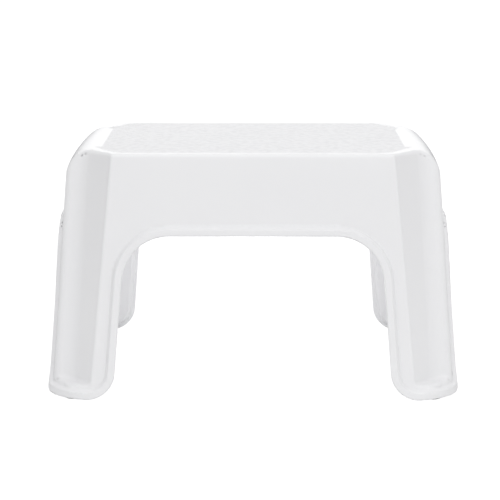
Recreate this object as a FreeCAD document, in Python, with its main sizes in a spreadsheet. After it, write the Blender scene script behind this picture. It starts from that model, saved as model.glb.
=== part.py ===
"""One-step stool: a thin injection-moulded shell on four slip-resistant foot pads.

+X runs along the stool's length, +Y across it and +Z up. The origin is on the floor, at the centre of
the stool. Everything is in millimetres and is driven by the spreadsheet called Dims.
"""

import FreeCAD, Part
import os

import Sketcher

DIMS = {
    # overall size: over the rim at the feet, and from the floor to the shoulders
    "overall_length": 400,
    "overall_width": 286,
    "overall_height": 235,
    # how far the panels lean in from the vertical, in degrees
    "side_draft": 4.57,
    "front_draft": 3.55,
    # the moulding
    "wall": 3,
    "deck_wall": 3.6,
    "corner_radius": 48,
    "shoulder_radius": 25,
    "edge_radius": 3,
    # the stepped rim round the whole lower edge
    "rim_out": 4.5,
    "rim_tall": 8,
    # the flute that hollows each corner: where its mouth meets the front and side panels at the top
    # and at the shelf that closes it, how far its inner wall turns from straight in, in degrees, and
    # its rounding
    "shelf_height": 14,
    "flute_top_x": 134,
    "flute_top_y": 87,
    "flute_low_x": 156,
    "flute_low_y": 110,
    "flute_turn": 30,
    "flute_radius": 22,
    "shelf_radius": 5,
    # the arches between the legs, their half widths measured at the floor
    "arch_top": 158.4,
    "front_arch_half": 133.5,
    "side_arch_half": 84,
    "arch_draft": 4.55,
    "front_arch_radius": 46,
    "side_arch_radius": 32,
    "toe_radius": 25,
    # the tread, a shallow recess between the shoulders
    "tread_half_length": 147.4,
    "tread_half_width": 110,
    "tread_side_half": 67,
    "tread_tip_x": 151.5,
    "tread_tip_y": 72,
    "tread_bend_x": 133,
    "tread_bend_y": 104.5,
    "tread_front_half": 124,
    "tread_depth": 0.8,
    # the ribs under the deck
    "rib_thickness": 2,
    "rib_depth": 14,
    "rib_pitch": 50,
    # the foot pads, each centred on a spoke of the foot's rounded corner, and their sockets
    "pad_proud": 1.5,
    "pad_radius": 10,
    "pad_thickness": 4,
    "pad_bevel": 0.6,
    "pad_reach": 34.5,
    "pad_bearing": 56,
    "spigot_radius": 6,
    "spigot_length": 5,
    "spigot_clearance": 0.05,
    "socket_wall": 2.5,
}
OVERCUT = 5  # how far a cutting shape runs past what it cuts
FITS = 0.01  # two lengths this close are taken as equal when an edge is looked for
RIBS_ACROSS = 5  # ribs that run along Y
RIBS_ALONG = 3  # ribs that run along X

doc = FreeCAD.newDocument("step_stool")
sheet = doc.addObject("Spreadsheet::Sheet", "Dims")
for row, (alias, value) in enumerate(DIMS.items(), start=1):
    sheet.set(f"A{row}", alias)
    sheet.set(f"B{row}", str(value))
    sheet.setAlias(f"B{row}", alias)
doc.recompute()


# Expressions for sizes that several shapes share


def panel_x(height, out):
    """Half length between the side panels at a height, moved out from the rim's face by `out`."""
    return f"(Dims.overall_length / 2 + {out} - ({height} - Dims.pad_proud) * tan(Dims.side_draft))"


def panel_y(height, out):
    """Half width between the front and rear panels at a height."""
    return f"(Dims.overall_width / 2 + {out} - ({height} - Dims.pad_proud) * tan(Dims.front_draft))"


def flute_mouth(axis, height):
    """Where a flute's mouth meets a panel at a height, on a straight line from shelf to top."""
    climb = f"({height} - Dims.shelf_height) / (Dims.overall_height - Dims.shelf_height)"
    return f"(Dims.flute_low_{axis} + (Dims.flute_top_{axis} - Dims.flute_low_{axis}) * {climb})"


# Helpers that make features


def origin_plane(body, role):
    """The body's own XY, XZ or YZ plane."""
    return next(plane for plane in body.Origin.OriginFeatures if plane.Role == role)


def polygon_sketch(body, name, role, offset, corners):
    """A closed outline of straight lines on one of the body's planes, moved along the plane's normal
    by `offset`. Each corner is a pair of expressions, and both of them drive the sketch."""
    sketch = body.newObject("Sketcher::SketchObject", name)
    sketch.AttachmentSupport = [(origin_plane(body, role), "")]
    sketch.MapMode = "FlatFace"
    sketch.setExpression("AttachmentOffset.Base.z", offset)
    points = [FreeCAD.Vector(sketch.evalExpression(x), sketch.evalExpression(y)) for x, y in corners]
    count = len(points)
    for i in range(count):
        sketch.addGeometry(Part.LineSegment(points[i], points[(i + 1) % count]), False)
    for i in range(count):
        sketch.addConstraint(Sketcher.Constraint("Coincident", i, 2, (i + 1) % count, 1))
        for kind, expression, value in zip(("DistanceX", "DistanceY"), corners[i], points[i]):
            index = sketch.addConstraint(Sketcher.Constraint(kind, -1, 1, i, 1, value))
            sketch.renameConstraint(index, f"{kind}_{i}")
            sketch.setExpression(f"Constraints.{kind}_{i}", expression)
    return sketch


def loft(body, kind, low, top):
    """A ruled additive or subtractive loft between two outlines."""
    feature = body.newObject(f"PartDesign::{kind}", kind)
    feature.Profile = (low, [""])
    feature.Sections = [(top, [""])]
    feature.Ruled = True
    return feature


def mirror_both_ways(body, feature):
    """The feature in all four corners of the stool."""
    pattern = body.newObject("PartDesign::MultiTransform", "FourCorners")
    pattern.Originals = [feature]
    mirrors = []
    for role in ("YZ_Plane", "XZ_Plane"):
        mirror = body.newObject("PartDesign::Mirrored", f"Mirror_{role}")
        mirror.MirrorPlane = (origin_plane(body, role), [""])
        mirrors.append(mirror)
    pattern.Transformations = mirrors
    body.Tip = pattern
    return pattern


def round_edges(body, name, radius, wanted):
    """A fillet on the tip's edges for which wanted(edge) is true."""
    doc.recompute()
    base = body.Tip
    names = [f"Edge{i}" for i, edge in enumerate(base.Shape.Edges, start=1) if wanted(edge)]
    if not names:
        raise ValueError(f"{body.Name} has no edges for {name}")
    fillet = body.newObject("PartDesign::Fillet", name)
    fillet.Base = (base, names)
    fillet.setExpression("Radius", radius)
    body.Tip = fillet
    return fillet


def is_upright(edge):
    """True for an edge that climbs more than it runs sideways."""
    box = edge.BoundBox
    return box.ZLength > max(box.XLength, box.YLength)


def combine(kind, name, first, *rest):
    """A Part boolean: Part::Cut of two shapes, or Part::MultiFuse or Part::MultiCommon of several."""
    result = doc.addObject(kind, name)
    if kind == "Part::Cut":
        result.Base, result.Tool = first, rest[0]
    else:
        result.Shapes = [first, *rest]
    return result


# Shapes of the moulding


def drafted_block(name, out, top):
    """A body with four leaning panels and rounded corners, from the floor up to `top`."""
    body = doc.addObject("PartDesign::Body", name)
    block = body.newObject("PartDesign::AdditiveWedge", "Block")
    block.AttachmentSupport = [(origin_plane(body, "XZ_Plane"), "")]
    block.MapMode = "FlatFace"
    block.Ymin = 0
    block.setExpression("Ymax", top)
    for level, height in (("", "0"), ("2", top)):
        for axis, half in (("X", panel_x(height, out)), ("Z", panel_y(height, out))):
            block.setExpression(f"{axis}{level}min", f"-{half}")
            block.setExpression(f"{axis}{level}max", half)
    round_edges(body, "Corners", f"Dims.corner_radius + {out}", is_upright)
    return body


def is_flute_wall(face):
    """True for a face inside a flute: the only tall faces that aren't plain planes or cylinders."""
    is_plain = isinstance(face.Surface, (Part.Plane, Part.Cylinder))
    return face.BoundBox.ZLength > DIMS["overall_height"] / 2 and not is_plain


def flute_walls_beside(body, edge):
    """How many of the faces that meet at an edge are inside a flute."""
    return sum(is_flute_wall(face) for face in body.Tip.Shape.ancestorsOfType(edge, Part.Face))


def cut_flutes(body, out, shrink):
    """Cuts the corner flutes above the shelf. `shrink` moves the flutes' walls into the stool."""
    shelf = f"(Dims.shelf_height - {shrink})"
    top = f"(Dims.overall_height + {OVERCUT})"
    outlines = []
    for label, height in (("Low", shelf), ("Top", top)):
        far_x = f"({panel_x(height, out)} + {OVERCUT})"
        far_y = f"({panel_y(height, out)} + {OVERCUT})"
        panel = panel_y(height, "-Dims.rim_out")
        mouth_x = f"({flute_mouth('x', height)} - {shrink} / cos(Dims.flute_turn))"
        outer_y = f"({flute_mouth('y', height)} - {shrink})"
        near = (f"({mouth_x} + ({panel} - {far_y}) * tan(Dims.flute_turn))", far_y)
        deep = (f"({mouth_x} + ({panel} - {outer_y}) * tan(Dims.flute_turn))", outer_y)
        corners = [near, deep, (far_x, outer_y), (far_x, far_y)]
        outlines.append(polygon_sketch(body, f"{label}Flute", "XY_Plane", height, corners))
    mirror_both_ways(body, loft(body, "SubtractiveLoft", *outlines))
    radius = f"Dims.flute_radius + {shrink}"
    round_edges(body, "FluteCorners", radius, lambda edge: flute_walls_beside(body, edge) == 2)


def skin(name, out, top, shrink):
    """A drafted block with its flutes cut and its shoulders rolled over."""
    body = drafted_block(name, out, top)
    cut_flutes(body, out, shrink)
    height = sheet.evalExpression(top)

    def is_shoulder(edge):
        box = edge.BoundBox
        return box.ZMin > height - FITS and box.YLength > 2 * box.XLength and abs(box.Center.y) < FITS

    round_edges(body, "Shoulders", f"Dims.shoulder_radius - {shrink}", is_shoulder)
    return body


def sink_tread(body):
    """Recesses the tread between the shoulders, with its corners drawn in behind the flutes."""
    right = [
        ("Dims.tread_front_half", "-Dims.tread_half_width"),
        ("Dims.tread_bend_x", "-Dims.tread_bend_y"),
        ("Dims.tread_tip_x", "-Dims.tread_tip_y"),
        ("Dims.tread_half_length", "-Dims.tread_side_half"),
    ]
    right += [(x, y[1:]) for x, y in reversed(right)]
    left = [(f"-{x}", y) for x, y in reversed(right)]
    outline = polygon_sketch(body, "TreadOutline", "XY_Plane", "Dims.overall_height", right + left)
    pocket = body.newObject("PartDesign::Pocket", "Tread")
    pocket.Profile = outline
    pocket.setExpression("Length", "Dims.tread_depth")
    body.Tip = pocket


def soften_outside(body):
    """Rounds the flutes' front edges and shelves, and the stool's front and rear top edges."""
    top = DIMS["overall_height"]
    shelf = DIMS["shelf_height"]

    def is_shelf_corner(edge):
        return flute_walls_beside(body, edge) == 1 and edge.BoundBox.ZMax < shelf + FITS

    def is_front_mouth(edge):
        at_front = is_upright(edge) and abs(edge.CenterOfMass.x) < DIMS["flute_low_x"]
        return at_front and flute_walls_beside(body, edge) == 1

    def is_front_top(edge):
        box = edge.BoundBox
        on_top = box.ZMin > top - FITS and box.YLength < FITS
        return on_top and abs(box.Center.y) > DIMS["tread_half_width"] + FITS

    def is_outside_corner(edge):
        return is_front_mouth(edge) or is_front_top(edge)

    round_edges(body, "ShelfCorners", "Dims.shelf_radius", is_shelf_corner)
    round_edges(body, "FrontEdges", "Dims.edge_radius", is_outside_corner)


def arch_prism(name, role, side, grow):
    """The opening through two opposite panels, the front and rear or the sides, grown by `grow`."""
    body = doc.addObject("PartDesign::Body", name)
    floor = f"(Dims.pad_proud + {grow})"
    crown = f"(Dims.arch_top + {grow})"
    low = f"(Dims.{side}_arch_half + {grow} - {floor} * tan(Dims.arch_draft))"
    high = f"(Dims.{side}_arch_half + {grow} - {crown} * tan(Dims.arch_draft))"
    foot = f"({low} + Dims.toe_radius + {OVERCUT})"
    right = [(foot, f"-{OVERCUT}"), (foot, floor), (low, floor), (high, crown)]
    left = [(f"-{x}", z) for x, z in reversed(right)]
    outline = polygon_sketch(body, "Opening", role, "0", right + left)
    pad = body.newObject("PartDesign::Pad", "Prism")
    pad.Profile = outline
    pad.Midplane = True
    pad.setExpression("Length", f"Dims.overall_length + 2 * {OVERCUT}")
    body.Tip = pad
    crown_level = sheet.evalExpression(crown)
    floor_level = sheet.evalExpression(floor)
    low_half = sheet.evalExpression(low)
    axis = "x" if role == "XZ_Plane" else "y"

    def is_at(edge, level):
        return abs(edge.BoundBox.Center.z - level) < FITS and edge.Length > DIMS["overall_length"]

    def is_toe(edge):
        return is_at(edge, floor_level) and abs(getattr(edge.CenterOfMass, axis)) < low_half + FITS

    corner_radius = f"Dims.{side}_arch_radius + {grow}"
    round_edges(body, "ArchCorners", corner_radius, lambda edge: is_at(edge, crown_level))
    round_edges(body, "Toes", f"Dims.toe_radius - {grow}", is_toe)
    return body


def slab(name, low, high):
    """A plate as wide as the stool between two heights."""
    plate = doc.addObject("Part::Box", name)
    length, width = f"(Dims.overall_length + 4 * {OVERCUT})", f"(Dims.overall_width + 4 * {OVERCUT})"
    plate.setExpression("Length", length)
    plate.setExpression("Width", width)
    plate.setExpression("Height", f"{high} - {low}")
    plate.setExpression("Placement.Base.x", f"-{length} / 2")
    plate.setExpression("Placement.Base.y", f"-{width} / 2")
    plate.setExpression("Placement.Base.z", low)
    return plate


def edge_zone(name, grow):
    """Everything within `grow` of the stool's lower edge, seen square on to each panel."""
    front = arch_prism(f"{name}Front", "XZ_Plane", "front", grow)
    side = arch_prism(f"{name}Side", "YZ_Plane", "side", grow)
    feet = slab(f"{name}Feet", f"-{OVERCUT}", f"Dims.pad_proud + {grow}")
    return combine("Part::MultiFuse", name, front, side, feet)


def box(name, size, centre):
    """A Part box from expressions for its size and its centre."""
    block = doc.addObject("Part::Box", name)
    for side, axis, length, middle in zip(("Length", "Width", "Height"), "xyz", size, centre):
        block.setExpression(side, length)
        block.setExpression(f"Placement.Base.{axis}", f"{middle} - ({length}) / 2")
    return block


def cylinder(name, radius, height, centre):
    """A Part cylinder that stands on the point `centre`, all from expressions."""
    post = doc.addObject("Part::Cylinder", name)
    post.setExpression("Radius", radius)
    post.setExpression("Height", height)
    for axis, value in zip("xyz", centre):
        post.setExpression(f"Placement.Base.{axis}", value)
    return post


def ribs():
    """The grid of ribs that hangs from the deck, clipped to the inside of the shell."""
    depth = "(Dims.rib_depth + Dims.deck_wall)"
    middle = f"Dims.overall_height - {depth} / 2 - Dims.tread_depth - Dims.wall / 2"
    bars = []
    for i in range(RIBS_ACROSS):
        place = f"{i - (RIBS_ACROSS - 1) / 2} * Dims.rib_pitch"
        size = ("Dims.rib_thickness", "Dims.overall_width", depth)
        bars.append(box(f"RibAcross{i}", size, (place, "0", middle)))
    for i in range(RIBS_ALONG):
        place = f"{i - (RIBS_ALONG - 1) / 2} * Dims.rib_pitch"
        size = ("Dims.overall_length", "Dims.rib_thickness", depth)
        bars.append(box(f"RibAlong{i}", size, ("0", place, middle)))
    return combine("Part::MultiFuse", "RibGrid", *bars)


def foot_centres():
    """Names of the four feet with expressions for the centre of each one's pad."""
    reach = "Dims.pad_reach"
    x = f"(Dims.overall_length / 2 - Dims.corner_radius + {reach} * cos(Dims.pad_bearing))"
    y = f"(Dims.overall_width / 2 - Dims.corner_radius + {reach} * sin(Dims.pad_bearing))"
    return {
        "front_left": (f"-{x}", f"-{y}"),
        "front_right": (x, f"-{y}"),
        "rear_left": (f"-{x}", y),
        "rear_right": (x, y),
    }


def socket(name, centre):
    """The boss inside a foot and the blind bore in its lower end."""
    x, y = centre
    radius = "Dims.spigot_radius + Dims.spigot_clearance"
    boss_height = "Dims.shelf_height - Dims.wall / 2 - Dims.pad_thickness"
    boss = cylinder(f"Boss_{name}", f"{radius} + Dims.socket_wall", boss_height, (x, y, "Dims.pad_thickness"))
    low = f"Dims.pad_thickness - {OVERCUT}"
    depth = f"Dims.spigot_length + Dims.spigot_clearance + {OVERCUT}"
    return boss, cylinder(f"Bore_{name}", radius, depth, (x, y, low))


def foot_pad(name, centre):
    """A rubber pad with a spigot on top: one revolved outline with its lower edge chamfered."""
    body = doc.addObject("PartDesign::Body", f"foot_pad_{name}")
    top = "Dims.pad_thickness + Dims.spigot_length"
    bevel = "Dims.pad_bevel"
    corners = [
        ("0", "0"),
        (f"Dims.pad_radius - {bevel}", "0"),
        ("Dims.pad_radius", bevel),
        ("Dims.pad_radius", "Dims.pad_thickness"),
        ("Dims.spigot_radius", "Dims.pad_thickness"),
        ("Dims.spigot_radius", f"{top} - {bevel}"),
        (f"Dims.spigot_radius - {bevel}", top),
        ("0", top),
    ]
    outline = polygon_sketch(body, "HalfSection", "XZ_Plane", "0", corners)
    turned = body.newObject("PartDesign::Revolution", "Turned")
    turned.Profile = outline
    turned.ReferenceAxis = (outline, ["V_Axis"])
    body.Tip = turned
    for axis, value in zip("xy", centre):
        body.setExpression(f"Placement.Base.{axis}", value)
    return body


def stool_shell():
    """The moulding: a solid stool, less its hollow, its arches and the bores for the pads."""
    outer = skin("OuterSkin", "-Dims.rim_out", "Dims.overall_height", "0")
    sink_tread(outer)
    soften_outside(outer)
    rim_block = drafted_block("RimBlock", "0", "Dims.overall_height")
    rim = combine("Part::MultiCommon", "Rim", rim_block, edge_zone("RimZone", "Dims.rim_tall"))
    solid = combine("Part::MultiFuse", "SolidStool", outer, rim)

    inside = "(-Dims.rim_out - Dims.wall)"
    cavity = skin("Cavity", inside, "(Dims.overall_height - Dims.deck_wall)", "Dims.wall")
    step_block = drafted_block("StepBlock", "-Dims.wall", "Dims.overall_height")
    step_zone = edge_zone("StepZone", "(Dims.rim_tall - Dims.wall)")
    step = combine("Part::MultiCommon", "RimStep", step_block, step_zone)
    hollow = combine("Part::MultiFuse", "Hollow", cavity, step)
    walls = combine("Part::Cut", "Walls", solid, hollow)

    rib_shape = combine("Part::MultiCommon", "Ribs", ribs(), cavity)
    sockets = [socket(name, centre) for name, centre in foot_centres().items()]
    bosses, bores = zip(*sockets)
    stiffened = combine("Part::MultiFuse", "Stiffened", walls, rib_shape, *bosses)
    cutters = combine("Part::MultiFuse", "Cutters", edge_zone("Openings", "0"), *bores)
    return combine("Part::Cut", "stool_shell", stiffened, cutters)


def check(parts):
    """Stops with a plain message if anything failed to compute or a part isn't one sound solid."""
    for thing in doc.Objects:
        if {"Invalid", "Error"} & set(thing.State):
            raise RuntimeError(f"{thing.Name} failed: {thing.State}")
    for part in parts:
        shape = part.Shape
        if shape.isNull() or not shape.isValid() or len(shape.Solids) != 1:
            raise RuntimeError(f"{part.Label} isn't one sound solid")


def main():
    parts = [stool_shell()]
    parts += [foot_pad(name, centre) for name, centre in foot_centres().items()]
    doc.recompute()
    check(parts)
    os.makedirs("parts", exist_ok=True)
    for part in parts:
        part.Shape.exportStep(f"parts/{part.Label}.step")


main()
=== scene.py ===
"""The look of the one-step stool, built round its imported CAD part.

Shapes are worked out in millimetres, in the frame's axes, and become metres when a mesh is made. The
moulding is described by one formula: the distance from a point to its surface, negative inside the
plastic. A net of four-sided faces is stretched over the places where that distance is zero, for the
corner where x and y are positive, and is mirrored into the other three.
"""

import math

import bpy
import numpy as np
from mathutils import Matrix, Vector


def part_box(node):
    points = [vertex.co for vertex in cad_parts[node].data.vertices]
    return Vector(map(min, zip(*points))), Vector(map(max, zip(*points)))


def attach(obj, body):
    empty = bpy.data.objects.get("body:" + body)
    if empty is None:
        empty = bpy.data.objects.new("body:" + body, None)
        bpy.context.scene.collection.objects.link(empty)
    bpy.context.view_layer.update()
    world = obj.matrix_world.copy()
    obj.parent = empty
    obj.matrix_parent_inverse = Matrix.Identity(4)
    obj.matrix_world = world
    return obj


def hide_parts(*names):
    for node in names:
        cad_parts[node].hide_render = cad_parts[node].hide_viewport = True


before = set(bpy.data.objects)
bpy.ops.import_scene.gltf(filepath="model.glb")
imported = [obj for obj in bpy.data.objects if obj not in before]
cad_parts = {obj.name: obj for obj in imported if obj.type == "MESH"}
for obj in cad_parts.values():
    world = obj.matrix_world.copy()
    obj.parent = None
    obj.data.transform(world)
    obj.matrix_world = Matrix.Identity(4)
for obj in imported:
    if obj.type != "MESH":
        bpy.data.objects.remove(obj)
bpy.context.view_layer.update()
MM = 0.001
CORNERS = ("front_left", "front_right", "rear_left", "rear_right")

# The outer skin. The half sizes are over the rim, at its lower edge
SHELL_LOW, SHELL_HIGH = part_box("stool_shell")
RIM_LOW = SHELL_LOW.z / MM
TOP = SHELL_HIGH.z / MM
HALF_LENGTH = 200
HALF_WIDTH = 143
SIDE_DRAFT = math.radians(4.57)
FRONT_DRAFT = math.radians(3.55)
CORNER_RADIUS = 43.5
SHOULDER_RADIUS = 25
EDGE_RADIUS = 3
WALL = 3
DECK_WALL = 3.6
INNER_RADIUS = 2

# The side panels swell a little in their middle, above the legs
SWELL = 3
SWELL_REACH = 105
SWELL_LOW = 80
SWELL_FULL = 160

# The front and rear panels lean back a little more over their top stretch
LEAN_TALL = 22
LEAN_MORE = math.radians(1.6)

# The rim round the lower edge: how far it stands out, how tall it is and how wide its slope is
RIM_OUT = 4.5
RIM_TALL = 8
RIM_SLOPE = 3.4
RIM_EDGE = 1.1

# The hollow down each corner: where its mouth meets the panels at the shelf and at the top
SHELF = 14
FLUTE_LOW = (156, 110)
FLUTE_TOP = (134, 87)
FLUTE_RADIUS = 25
SHELF_RADIUS = 5
MOUTH_RADII = (3, 6)

# The hollow's inner wall steps in at a lip and then runs on a slant; angles are from straight in
LIP_TURN = math.radians(9)
LIP_DEPTH = 1.3
LIP_RADIUS = 2
INNER_TURN = math.radians(39)
OUTER_TURN = math.radians(3)

# The arches between the legs
ARCH_TOP = 158.4
ARCH_DRAFT = math.radians(4.55)
FRONT_ARCH = (133.5, 46)
SIDE_ARCH = (84, 32)
TOE_RADIUS = 25

# The tread's outline in one corner of the stool, with its ends run on past the middle
PAST_MIDDLE = -50
TREAD_TIP = (151.5, 72)
TREAD_BEND = (133, 104.5)
TREAD_OUTLINE = (
    (PAST_MIDDLE, PAST_MIDDLE),
    (147.4, PAST_MIDDLE),
    (147.4, 67),
    TREAD_TIP,
    TREAD_BEND,
    (124, 110),
    (PAST_MIDDLE, 110),
)
TREAD_DEPTH = 0.8
TREAD_SLOPE = 1.4

# The tread's grain fades in over this width, on faces that look up by at least this much
GRAIN_FADE = 2
FACES_UP = 0.5

# The ribs under the deck and the sockets of the foot pads
RIB_THICKNESS = 2
RIB_LOW = 215.1
RIBS_X = (0, 50, 100)
RIBS_Y = (0, 50)
RIB_EDGE = 0.8
RIB_FILLET = 1.2
BORE_RADIUS = 6.05
BORE_TOP = 9.05
BOSS_RADIUS = 8.55
BOSS_LOW = 4
BOSS_FILLET = 2.5


# Distances


def round_max(a, b, radius, cosine=0):
    """The overlap of two shapes, with the edge where their faces meet rounded.

    `cosine` is that of the angle between the two faces' outward directions."""
    a, b = a + radius, b + radius
    corner = np.sqrt(np.maximum(a * a + b * b - 2 * a * b * cosine, 0) / (1 - cosine**2))
    return np.where((a > b * cosine) & (b > a * cosine), corner, np.maximum(a, b)) - radius


def round_min(a, b, radius):
    """Two shapes joined, with a fillet where their faces meet."""
    return -round_max(-a, -b, radius)


def ease(t):
    """0 before t is 0, 1 after t is 1 and a soft rise between."""
    t = np.clip(t, 0, 1)
    return t * t * (3 - 2 * t)


def outline_distance(x, y, corners):
    """Distance in plan to a closed outline of straight lines; negative inside it."""
    nearest = np.full(np.shape(x), np.inf)
    inside = np.zeros(np.shape(x), bool)
    for (ax, ay), (bx, by) in zip(corners, corners[1:] + corners[:1]):
        run_x, run_y = bx - ax, by - ay
        along = ((x - ax) * run_x + (y - ay) * run_y) / (run_x**2 + run_y**2)
        along = np.clip(along, 0, 1)
        nearest = np.minimum(nearest, np.hypot(x - ax - along * run_x, y - ay - along * run_y))
        if run_y:
            inside ^= ((ay > y) != (by > y)) & (x < ax + run_x * (y - ay) / run_y)
    return np.where(inside, -nearest, nearest)


def side_face(x, y, z):
    """Distance out from the side panel's skin."""
    half = HALF_LENGTH - RIM_OUT - (z - RIM_LOW) * math.tan(SIDE_DRAFT)
    swell = SWELL * np.maximum(1 - (y / SWELL_REACH) ** 2, 0)
    swell = swell * ease((z - SWELL_LOW) / (SWELL_FULL - SWELL_LOW))
    return (x - half - swell) * math.cos(SIDE_DRAFT)


def front_face(y, z):
    """Distance out from the front or rear panel's skin."""
    half = HALF_WIDTH - RIM_OUT - (z - RIM_LOW) * math.tan(FRONT_DRAFT)
    above = np.maximum(z - TOP + LEAN_TALL, 0)
    half = half - math.tan(LEAN_MORE) * above * np.minimum(above / LEAN_TALL, 1)
    return (y - half) * math.cos(FRONT_DRAFT)


def flute_mouth(z):
    """Where the hollow's mouth meets the front panel, along x, and the side panel, along y."""
    climb = (z - SHELF) / (TOP - SHELF)
    return [low + (top - low) * climb for low, top in zip(FLUTE_LOW, FLUTE_TOP)]


def flute(x, y, z):
    """Distance to the hollow down the corner; negative in the hollow."""
    mouth_x, mouth_y = flute_mouth(z)
    along, inward = mouth_x - x, -front_face(y, z)
    lip = along * math.cos(LIP_TURN) + inward * math.sin(LIP_TURN)
    inner = along * math.cos(INNER_TURN) + inward * math.sin(INNER_TURN) - LIP_DEPTH
    inner = round_max(lip, inner, LIP_RADIUS, math.cos(INNER_TURN - LIP_TURN))
    outer = (mouth_y - y) * math.cos(OUTER_TURN) + side_face(x, y, z) * math.sin(OUTER_TURN)
    walls = round_max(inner, outer, FLUTE_RADIUS, math.sin(INNER_TURN - OUTER_TURN))
    return round_max(walls, SHELF - z, SHELF_RADIUS)


def outer_skin(x, y, z):
    """Distance to the outside of the stool without its rim; negative inside."""
    side = side_face(x, y, z)
    front = front_face(y, z)
    drop = TREAD_DEPTH * ease(0.5 - outline_distance(x, y, TREAD_OUTLINE) / TREAD_SLOPE)
    roof = z - TOP + drop
    block = np.maximum(round_max(side, front, CORNER_RADIUS), round_max(side, roof, SHOULDER_RADIUS))
    block = np.maximum(block, round_max(front, roof, EDGE_RADIUS))
    at_front, at_side = MOUTH_RADII
    to_side = ease((x - flute_mouth(z)[0]) / CORNER_RADIUS)
    return round_max(block, -flute(x, y, z), at_front + (at_side - at_front) * to_side)


def leg_edge(across, z, arch):
    """Distance into a panel from its lower edge, seen square on; negative under the arch."""
    half, radius = arch
    leg = (across - half + z * math.tan(ARCH_DRAFT)) * math.cos(ARCH_DRAFT)
    panel = round_max(leg, z - ARCH_TOP, radius, math.sin(ARCH_DRAFT))
    return -round_max(-panel, RIM_LOW - z, TOE_RADIUS)


def rim(edge, tall):
    """How far the rim stands out at a distance from the panel's lower edge."""
    return RIM_OUT * ease(0.5 + (tall - edge) / RIM_SLOPE)


def ribs(x, y, z, skin):
    """Distance to the ribs that hang from the deck."""
    across = np.min([np.abs(x - place) for place in RIBS_X], axis=0)
    along = np.min([np.abs(y - place) for place in RIBS_Y], axis=0)
    slab = np.minimum(across, along) - RIB_THICKNESS / 2
    return np.maximum(round_max(slab, RIB_LOW - z, RIB_EDGE), skin + WALL / 2)


def pad_centre(name):
    """Where a foot pad stands, in millimetres."""
    low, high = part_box(f"foot_pad_{name}")
    return (low.x + high.x) / 2 / MM, (low.y + high.y) / 2 / MM


SOCKET = pad_centre("rear_right")


def moulding(x, y, z):
    """Distance to the surface of the whole moulding; negative in the plastic."""
    edge = np.minimum(leg_edge(x, z, FRONT_ARCH), leg_edge(y, z, SIDE_ARCH))
    skin = outer_skin(x, y, z)
    inside = round_max(skin + WALL - rim(edge, RIM_TALL - WALL), z - TOP + DECK_WALL, INNER_RADIUS)
    plastic = np.maximum(skin - rim(edge, RIM_TALL), -inside)
    plastic = round_min(plastic, ribs(x, y, z, skin), RIB_FILLET)

    from_axis = np.hypot(x - SOCKET[0], y - SOCKET[1])
    boss = np.maximum(round_max(from_axis - BOSS_RADIUS, BOSS_LOW - z, RIB_EDGE), z - SHELF + WALL / 2)
    plastic = round_min(plastic, boss, BOSS_FILLET)
    plastic = np.maximum(plastic, -np.maximum(from_axis - BORE_RADIUS, z - BORE_TOP))
    return round_max(plastic, -edge, RIM_EDGE)


# The net over the surface


def lines(start, *runs):
    """Grid lines from `start`, in runs of (end, spacing)."""
    places = [np.array([start])]
    for end, spacing in runs:
        begin = places[-1][-1]
        count = max(1, round((end - begin) / spacing))
        places.append(np.linspace(begin, end, count + 1)[1:])
    return np.concatenate(places)


# Spacing of the grid. It is fine where the surface bends and round the ribs, and coarse between them.
# The lean of the grid moves the ribs outwards along these lines
FINE = 1.7
COARSE = 8
FIRST_ACROSS = -0.6
FIRST_UP = -1
AT_MIDDLE = ((0.6, 1.2), (1.4, 0.8), (2.6, 1.2), (14, 3.8))
RUNS_X = ((54, COARSE), (62, 1), (78, COARSE), (111.5, 3.7), (120, 1), (127, 2.4), (206, FINE))
RUNS_Y = ((60, COARSE), (69, 1), (82, 4.4), (146, FINE))
RUNS_Z = ((24, FINE), (108, 14), (171, 2.8), (205, 17), (214, 3), (237, 1.9))
LINES_X = lines(FIRST_ACROSS, *AT_MIDDLE, *RUNS_X)
LINES_Y = lines(FIRST_ACROSS, *AT_MIDDLE, *RUNS_Y)
LINES_Z = lines(FIRST_UP, *RUNS_Z)

# How far the grid leans, per millimetre of height, at places along x and along y: not at the middle,
# like the arch's edge near the leg, like the hollow's mouth and then like the panel
MOUTH_LEAN_X, MOUTH_LEAN_Y = [(low - top) / (TOP - SHELF) for low, top in zip(FLUTE_LOW, FLUTE_TOP)]
LEAN_PLACES_X = (0, 130, FLUTE_LOW[0], 195)
LEAN_PLACES_Y = (0, 80, FLUTE_LOW[1], 138)
LEANS_X = (0, math.tan(ARCH_DRAFT), MOUTH_LEAN_X, math.tan(SIDE_DRAFT))
LEANS_Y = (0, math.tan(ARCH_DRAFT), MOUTH_LEAN_Y, math.tan(FRONT_DRAFT))

GRADIENT_STEP = 0.02
SETTLE_ROUNDS = 4
SETTLE_LONGEST = 1.5
FLATTEST = 0.05
TINY = 1e-9

# The least cosine between the field's direction and the net's at a point. Below it, the net's is used
SHARP_EDGE = 0.9


def lean_with_panels(x, y, z):
    """Tilts the grid so that its upright lines run along the panels, arches and hollows."""
    lean_x = np.interp(x, LEAN_PLACES_X, LEANS_X)
    lean_y = np.interp(y, LEAN_PLACES_Y, LEANS_Y)
    return x - lean_x * z, y - lean_y * z, z


def gradient(field, points):
    """The direction in which the distance grows, and how fast."""
    columns = []
    for axis in range(3):
        shift = np.zeros(3)
        shift[axis] = GRADIENT_STEP
        rise = field(*(points + shift).T) - field(*(points - shift).T)
        columns.append(rise / (2 * GRADIENT_STEP))
    return np.stack(columns, axis=1)


def settle(field, points):
    """Moves points on to the surface."""
    for _ in range(SETTLE_ROUNDS):
        slope = gradient(field, points)
        move = -field(*points.T) / np.maximum((slope**2).sum(axis=1), FLATTEST)
        move = slope * move[:, None]
        size = np.linalg.norm(move, axis=1, keepdims=True)
        points = points + move * np.minimum(1, SETTLE_LONGEST / np.maximum(size, TINY))
    return points


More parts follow.
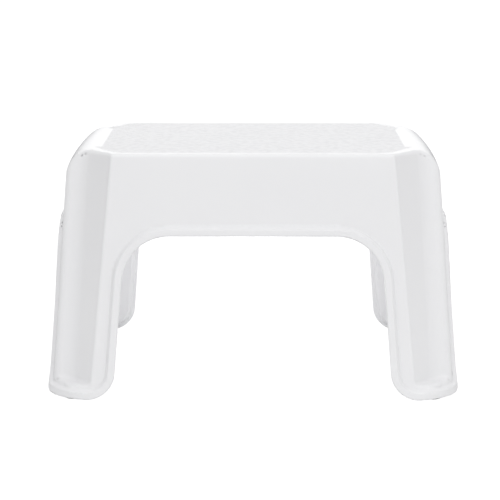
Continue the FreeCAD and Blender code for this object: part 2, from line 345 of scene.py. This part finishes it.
def neighbours(shape, axis):
    """Index pairs for both ends of every grid edge that runs along an axis."""
    low, high = [slice(None)] * 3, [slice(None)] * 3
    low[axis], high[axis] = slice(None, shape[axis] - 1), slice(1, None)
    return tuple(low), tuple(high)


def edge_crossings(places, values, axis):
    """Which grid edges along an axis the surface crosses, where, and whether their low ends are inside."""
    low, high = neighbours(values.shape, axis)
    inside_low = values[low] < 0
    crossed = inside_low != (values[high] < 0)
    share = np.where(crossed, values[low] / np.where(crossed, values[low] - values[high], 1), 0)
    spots = places[low] + (places[high] - places[low]) * share[..., None]
    return crossed, spots * crossed[..., None], inside_low


def edges_of_cells(cells, axis):
    """For each of the four edges of a cell along an axis, the part of the grid's edges that it is."""
    first_axis, second_axis = [other for other in range(3) if other != axis]
    for first in (0, 1):
        for second in (0, 1):
            part = [slice(None)] * 3
            part[first_axis] = slice(first, first + cells[first_axis])
            part[second_axis] = slice(second, second + cells[second_axis])
            yield tuple(part)


def surface_net(field, *grid_lines):
    """Points and four-sided faces over the field's zero surface.

    Every grid cell that the surface passes through gets one point, and every grid edge that it crosses
    gets one face, between the points of the four cells round that edge."""
    places = np.stack(lean_with_panels(*np.meshgrid(*grid_lines, indexing="ij")), axis=-1)
    values = field(places[..., 0], places[..., 1], places[..., 2])
    cells = tuple(size - 1 for size in values.shape)
    total = np.zeros((*cells, 3))
    count = np.zeros(cells, int)
    crossings = []
    for axis in range(3):
        crossed, spots, inside_low = edge_crossings(places, values, axis)
        for part in edges_of_cells(cells, axis):
            total += spots[part]
            count += crossed[part]
        crossings.append((crossed, inside_low))
    used = count > 0
    number = np.full(cells, -1)
    number[used] = np.arange(used.sum())
    points = settle(field, total[used] / count[used][:, None])
    for axis in (0, 1):
        at_middle = np.argwhere(used)[:, axis] == 0
        points[at_middle, axis] = 0
    return points, net_faces(number, crossings)


def net_faces(number, crossings):
    """One face for each crossed grid edge, facing out of the plastic."""
    faces = []
    for axis, (crossed, inside_low) in enumerate(crossings):
        after, last = (axis + 1) % 3, (axis + 2) % 3
        edges = np.argwhere(crossed)
        whole = np.ones(len(edges), bool)
        for other in (after, last):
            whole &= (edges[:, other] > 0) & (edges[:, other] < number.shape[other])
        edges = edges[whole]
        ring = []
        for back_after, back_last in ((1, 1), (0, 1), (0, 0), (1, 0)):
            cell = edges.copy()
            cell[:, after] -= back_after
            cell[:, last] -= back_last
            ring.append(number[tuple(cell.T)])
        ring = np.stack(ring, axis=1)
        outward = inside_low[tuple(edges.T)]
        faces.append(np.where(outward[:, None], ring, ring[:, ::-1]))
    return np.concatenate(faces)


def mirrored(points, normals, faces, axis):
    """Adds the other half across the middle plane, with the points on the plane shared."""
    off_plane = points[:, axis] != 0
    image = np.arange(len(points))
    image[off_plane] = len(points) + np.arange(off_plane.sum())
    flip = np.ones(3)
    flip[axis] = -1
    points = np.concatenate([points, points[off_plane] * flip])
    normals = np.concatenate([normals, normals[off_plane] * flip])
    return points, normals, np.concatenate([faces, image[faces][:, ::-1]])


def unit(vectors):
    """The same directions, one long."""
    return vectors / np.linalg.norm(vectors, axis=1, keepdims=True)


def average_normals(points, faces):
    """The direction that each point's faces look in on average."""
    across = points[faces[:, 2]] - points[faces[:, 0]]
    square = np.cross(across, points[faces[:, 3]] - points[faces[:, 1]])
    total = np.zeros_like(points)
    for corner in range(4):
        np.add.at(total, faces[:, corner], square)
    return unit(total)


def new_piece(name, points, faces, material):
    """A smooth-shaded object from points in millimetres."""
    mesh = bpy.data.meshes.new(name)
    mesh.from_pydata((np.asarray(points) * MM).tolist(), [], faces)
    mesh.shade_smooth()
    mesh.materials.append(material)
    piece = bpy.data.objects.new(name, mesh)
    bpy.context.scene.collection.objects.link(piece)
    return piece


def tread_share(points, normals):
    """1 for points on the tread, 0 for those off it and a soft step between."""
    x, y, z = np.abs(points[:, 0]), np.abs(points[:, 1]), points[:, 2]
    on_deck = (z > TOP - EDGE_RADIUS) & (normals[:, 2] > FACES_UP)
    return ease(-outline_distance(x, y, TREAD_OUTLINE) / GRAIN_FADE) * on_deck


def shell_piece(material):
    """The stool's moulding."""
    points, faces = surface_net(moulding, LINES_X, LINES_Y, LINES_Z)
    normals = gradient(moulding, points)
    normals[points[:, 0] == 0, 0] = 0
    normals[points[:, 1] == 0, 1] = 0
    for axis in (0, 1):
        points, normals, faces = mirrored(points, normals, faces, axis)
    normals, average = unit(normals), average_normals(points, faces)
    at_sharp_edge = (normals * average).sum(axis=1) < SHARP_EDGE
    normals[at_sharp_edge] = average[at_sharp_edge]
    piece = new_piece("stool_moulding", points, faces.tolist(), material)
    piece.data.normals_split_custom_set_from_vertices(normals.tolist())
    attribute = piece.data.attributes.new("tread", "FLOAT", "POINT")
    attribute.data.foreach_set("value", tread_share(points, normals).astype(np.float32))
    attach(piece, "root")
    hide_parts("stool_shell")


# The foot pads

PAD_RADIUS = 10
PAD_THICKNESS = 4
PAD_ROUND = 0.8
PAD_EDGE = 0.3
SPIGOT_RADIUS = 6
SPIGOT_TOP = 9
SPIGOT_ROUND = 0.6
GROOVES = (3, 5.5, 8)
GROOVE_HALF = 0.6
GROOVE_RADIUS = 0.51
GROOVE_LIFT = 0.06
TURNS = 72


def arc(centre, radius, start, end, steps=6):
    """Points round part of a circle, with angles in degrees."""
    angles = np.radians(np.linspace(start, end, steps))
    return [(centre[0] + radius * math.cos(a), centre[1] + radius * math.sin(a)) for a in angles]


def pad_section():
    """Half of a pad's section, as (distance from its axis, height), from sole to spigot."""
    section = [(0, 0)]
    for middle in GROOVES:
        section.append((middle - GROOVE_HALF, 0))
        section += arc((middle, GROOVE_LIFT), GROOVE_RADIUS, 180, 0, 7)
        section.append((middle + GROOVE_HALF, 0))
    section += arc((PAD_RADIUS - PAD_ROUND, PAD_ROUND), PAD_ROUND, -90, 0)
    section += arc((PAD_RADIUS - PAD_EDGE, PAD_THICKNESS - PAD_EDGE), PAD_EDGE, 0, 90, 4)
    section += arc((SPIGOT_RADIUS + PAD_EDGE, PAD_THICKNESS + PAD_EDGE), PAD_EDGE, 270, 180, 4)
    section += arc((SPIGOT_RADIUS - SPIGOT_ROUND, SPIGOT_TOP - SPIGOT_ROUND), SPIGOT_ROUND, 0, 90, 4)
    return section


def turned_faces(rings):
    """Faces of a turned shape: a fan of triangles at each end and rings of four-sided faces between."""
    last_ring = 1 + (rings - 1) * TURNS
    last_point = last_ring + TURNS
    faces = []
    for turn in range(TURNS):
        ahead = (turn + 1) % TURNS
        faces.append((0, 1 + ahead, 1 + turn))
        for ring in range(1, last_ring, TURNS):
            faces.append((ring + turn, ring + ahead, ring + TURNS + ahead, ring + TURNS + turn))
        faces.append((last_ring + turn, last_ring + ahead, last_point))
    return faces


def foot_pad_piece(name, material):
    """A turned rubber pad with rings cut in its sole."""
    centre_x, centre_y = pad_centre(name)
    section = pad_section()
    points = [(centre_x, centre_y, section[0][1])]
    for radius, height in section[1:]:
        for turn in range(TURNS):
            angle = math.tau * turn / TURNS
            points.append((centre_x + radius * math.cos(angle), centre_y + radius * math.sin(angle), height))
    points.append((centre_x, centre_y, SPIGOT_TOP))
    piece = new_piece(f"rubber_pad_{name}", points, turned_faces(len(section) - 1), material)
    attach(piece, "root")
    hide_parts(f"foot_pad_{name}")


# Materials. Sizes of texture are in features to the metre and depths are in metres

PLASTIC_TINTS = ((0.83, 0.83, 0.845, 1), (0.86, 0.86, 0.87, 1))
CLOUD_SCALE = 9
PEEL_SCALE = 700
PEEL_DEPTH = 0.0002
PEEL_STRENGTH = 0.08
PEBBLE_SCALE = 520
PEBBLE_DEPTH = 0.0005
PEBBLE_STRENGTH = 0.9
SMOOTH_ROUGHNESS = 0.34
TREAD_ROUGHNESS = 0.55

# Painted shade: where the plastic is seen edge-on its colour is greyed. Patches of the tread's grain are
# greyed too, as tone that varies at random
EDGE_SHADE_AND_MOTTLE_GREY = (0.36, 0.36, 0.38, 1)
EDGE_START = 0.89
EDGE_SHADE = 0.85
MOTTLE_SCALE = 170
MOTTLE_RANGE = (0.4, 0.65)
MOTTLE_SHADE = 0.12

RUBBER_TINTS = ((0.11, 0.11, 0.115, 1), (0.19, 0.19, 0.195, 1))
RUBBER_ROUGHNESS = 0.75
DUST_SCALE = 400
DUST_DEPTH = 0.0002
DUST_STRENGTH = 0.2


def node_material(name):
    """A new node material, its node tree and its main shader."""
    material = bpy.data.materials.new(name)
    material.use_nodes = True
    tree = material.node_tree
    return material, tree, tree.nodes["Principled BSDF"]


def add_node(tree, kind, **settings):
    """A node with its settings and input values."""
    node = tree.nodes.new(kind)
    for key, value in settings.items():
        if key in node.inputs:
            node.inputs[key].default_value = value
        else:
            setattr(node, key, value)
    return node


def ramp(tree, source, start, end, low, high):
    """An output that goes smoothly from low to high while the source goes from start to end."""
    node = add_node(tree, "ShaderNodeMapRange", interpolation_type="SMOOTHSTEP")
    for name, value in (("From Min", start), ("From Max", end), ("To Min", low), ("To Max", high)):
        node.inputs[name].default_value = value
    tree.links.new(source, node.inputs["Value"])
    return node.outputs["Result"]


def arithmetic(tree, operation, first, second):
    """The output of a sum or product of two outputs."""
    node = add_node(tree, "ShaderNodeMath", operation=operation)
    tree.links.new(first, node.inputs[0])
    tree.links.new(second, node.inputs[1])
    return node.outputs["Value"]


def noise(tree, scale, detail):
    """The output of a noise that is fixed to the piece."""
    node = add_node(tree, "ShaderNodeTexNoise", Scale=scale, Detail=detail)
    tree.links.new(add_node(tree, "ShaderNodeTexCoord").outputs["Object"], node.inputs["Vector"])
    return node.outputs["Fac"]


def mixed_colour(tree, share, first, second):
    """A colour output that goes from the first colour to the second with an output `share`. The first
    may be an output itself."""
    node = add_node(tree, "ShaderNodeMix", data_type="RGBA")
    if isinstance(first, tuple):
        node.inputs["A"].default_value = first
    else:
        tree.links.new(first, node.inputs["A"])
    node.inputs["B"].default_value = second
    tree.links.new(share, node.inputs["Factor"])
    return node.outputs["Result"]


def bump(tree, height, strength, depth):
    """A bump node that is driven by a height output."""
    node = add_node(tree, "ShaderNodeBump", Strength=strength, Distance=depth)
    tree.links.new(height, node.inputs["Height"])
    return node


def shell_plastic():
    """White polypropylene: a fine moulded texture all over, a mottled, pebbled grain on the tread, and
    painted shade that greys the colour where the surface is seen edge-on.
    """
    material, tree, shader = node_material("white_polypropylene")
    link = tree.links.new
    tread = add_node(tree, "ShaderNodeAttribute", attribute_name="tread").outputs["Fac"]

    patches = ramp(tree, noise(tree, MOTTLE_SCALE, 3), *MOTTLE_RANGE, 0, MOTTLE_SHADE)
    facing = add_node(tree, "ShaderNodeLayerWeight", Blend=0.5).outputs["Facing"]
    # Painted shade: the colour is greyed where the surface is seen edge-on
    painted_edge_shade = ramp(tree, facing, EDGE_START, 1, 0, EDGE_SHADE)
    colour = mixed_colour(tree, noise(tree, CLOUD_SCALE, 3), *PLASTIC_TINTS)
    for share in (arithmetic(tree, "MULTIPLY", patches, tread), painted_edge_shade):
        colour = mixed_colour(tree, share, colour, EDGE_SHADE_AND_MOTTLE_GREY)
    link(colour, shader.inputs["Base Color"])

    pebbles = add_node(tree, "ShaderNodeTexVoronoi", feature="SMOOTH_F1", Scale=PEBBLE_SCALE)
    link(add_node(tree, "ShaderNodeTexCoord").outputs["Object"], pebbles.inputs["Vector"])
    grain = arithmetic(tree, "MULTIPLY", pebbles.outputs["Distance"], tread)
    fine = bump(tree, noise(tree, PEEL_SCALE, 2), PEEL_STRENGTH, PEEL_DEPTH)
    coarse = bump(tree, grain, PEBBLE_STRENGTH, PEBBLE_DEPTH)
    link(fine.outputs["Normal"], coarse.inputs["Normal"])
    link(coarse.outputs["Normal"], shader.inputs["Normal"])

    gloss = add_node(tree, "ShaderNodeMapRange")
    gloss.inputs["To Min"].default_value = SMOOTH_ROUGHNESS
    gloss.inputs["To Max"].default_value = TREAD_ROUGHNESS
    link(tread, gloss.inputs["Value"])
    link(gloss.outputs["Result"], shader.inputs["Roughness"])
    return material


def pad_rubber():
    """Dark grey rubber with a dusty, slightly uneven surface."""
    material, tree, shader = node_material("grey_rubber")
    dust = noise(tree, DUST_SCALE, 4)
    tree.links.new(mixed_colour(tree, dust, *RUBBER_TINTS), shader.inputs["Base Color"])
    tree.links.new(bump(tree, dust, DUST_STRENGTH, DUST_DEPTH).outputs["Normal"], shader.inputs["Normal"])
    shader.inputs["Roughness"].default_value = RUBBER_ROUGHNESS
    return material


# The studio, in metres but for the floor's size

FLOOR_REACH = 15000
FLOOR_GAP = 0.3
FLOOR_WHITE = 0.85
FLOOR_GLOW = 1.15
FLOOR_GLOW_SHARE = 0.88

# How the room's light changes with direction: along an axis from one place to another, from one
# brightness to another. The three add up
ROOM_FRONT = (-0.9, 0.2, 0.43, 0)
ROOM_TOP = (0.05, 0.65, 0.31, 0.7)
ROOM_RIGHT = (-1, 1, -0.03, 0.03)

# Soft boxes: place, the point that they face, size and power
SOFT_BOXES = {
    "overhead": ((0, 0, 2.2), (0, 0, 0.2), (1.4, 1.4), 6.5),
    "behind": ((0, 2.2, 0.75), (0, 0, 0.2), (2.6, 0.6), 8.5),
    "front": ((0.7, -2.6, 1.3), (0, 0, 0.15), (1.6, 1.2), 9),
}

# A small lamp inside the stool stands in for the light that its walls let through
INNER_PLACE = (0, 0, 0.09)
INNER_POWER = 0.27
INNER_SIZE = 0.04

CAMERA_PLACE = (0.0084, -1.797, 0.475)
CAMERA_DIP = 0.19539
CAMERA_TURN = math.radians(0.38)
SENSOR = 36
LENS = 129.7


def hang(name, light, place):
    """A lamp that lights the stool without being seen itself."""
    lamp = bpy.data.objects.new(name, light)
    lamp.location = place
    lamp.visible_camera = False
    bpy.context.scene.collection.objects.link(lamp)
    return lamp


def soft_box(name, place, target, size, power):
    """A rectangular light that faces a point."""
    light = bpy.data.lights.new(name, "AREA")
    light.shape = "RECTANGLE"
    light.size, light.size_y = size
    light.energy = power
    lamp = hang(name, light, place)
    lamp.rotation_euler = (Vector(target) - Vector(place)).to_track_quat("-Z", "Y").to_euler()


def inner_lamp():
    """The lamp inside the stool."""
    light = bpy.data.lights.new("glow_through_the_walls", "POINT")
    light.energy = INNER_POWER
    light.shadow_soft_size = INNER_SIZE
    hang("glow_through_the_walls", light, INNER_PLACE)


def floor_material():
    """Matt white that the camera sees mostly as a glowing sheet, so that shadows on it stay faint. It is
    clear from below, so that the stool's underside can be seen."""
    material, tree, shader = node_material("studio_white")
    shader.inputs["Base Color"].default_value = (FLOOR_WHITE, FLOOR_WHITE, FLOOR_WHITE, 1)
    shader.inputs["Roughness"].default_value = 1
    shader.inputs["Specular IOR Level"].default_value = 0
    glow = add_node(tree, "ShaderNodeEmission", Color=(1, 1, 1, 1), Strength=FLOOR_GLOW)
    clear = add_node(tree, "ShaderNodeBsdfTransparent")
    seen = add_node(tree, "ShaderNodeLightPath").outputs["Is Camera Ray"]
    share = ramp(tree, seen, 0, 1, 0, FLOOR_GLOW_SHARE)
    below = add_node(tree, "ShaderNodeNewGeometry").outputs["Backfacing"]
    surface = shader.outputs["BSDF"]
    for amount, second in ((share, glow.outputs["Emission"]), (below, clear.outputs["BSDF"])):
        mix = add_node(tree, "ShaderNodeMixShader")
        for place, source in enumerate((amount, surface, second)):
            tree.links.new(source, mix.inputs[place])
        surface = mix.outputs["Shader"]
    tree.links.new(surface, tree.nodes["Material Output"].inputs["Surface"])
    return material


def studio_floor():
    """A wide floor just under the foot pads."""
    square = ((-1, -1), (1, -1), (1, 1), (-1, 1))
    corners = [(x * FLOOR_REACH, y * FLOOR_REACH, -FLOOR_GAP) for x, y in square]
    new_piece("studio_floor", corners, [(0, 1, 2, 3)], floor_material())


def studio_world():
    """White to the camera. The stool sees a room bright in front and overhead, dim behind and beside."""
    world = bpy.data.worlds.new("studio")
    world.use_nodes = True
    bpy.context.scene.world = world
    tree = world.node_tree
    axes = add_node(tree, "ShaderNodeSeparateXYZ")
    tree.links.new(add_node(tree, "ShaderNodeTexCoord").outputs["Generated"], axes.inputs[0])
    front = ramp(tree, axes.outputs["Y"], *ROOM_FRONT)
    top = ramp(tree, axes.outputs["Z"], *ROOM_TOP)
    right = ramp(tree, axes.outputs["X"], *ROOM_RIGHT)
    brightness = arithmetic(tree, "ADD", arithmetic(tree, "ADD", front, top), right)
    room = add_node(tree, "ShaderNodeMix")
    room.inputs["B"].default_value = 1
    seen = add_node(tree, "ShaderNodeLightPath").outputs["Is Camera Ray"]
    tree.links.new(seen, room.inputs["Factor"])
    tree.links.new(brightness, room.inputs["A"])
    back = tree.nodes["Background"]
    back.inputs["Color"].default_value = (1, 1, 1, 1)
    tree.links.new(room.outputs["Result"], back.inputs["Strength"])


def camera():
    """A viewpoint in front of the stool and a little above its tread, with a long lens."""
    data = bpy.data.cameras.new("camera")
    data.sensor_width = SENSOR
    data.lens = LENS
    eye = bpy.data.objects.new("camera", data)
    eye.location = CAMERA_PLACE
    eye.rotation_euler = (math.pi / 2 - CAMERA_DIP, 0, CAMERA_TURN)
    bpy.context.scene.collection.objects.link(eye)
    bpy.context.scene.camera = eye


def studio():
    """Floor, lights and colour settings."""
    studio_floor()
    studio_world()
    for name, settings in SOFT_BOXES.items():
        soft_box(name, *settings)
    inner_lamp()
    bpy.context.scene.view_settings.view_transform = "Standard"


shell_piece(shell_plastic())
rubber = pad_rubber()
for corner in CORNERS:
    foot_pad_piece(corner, rubber)
studio()
camera()
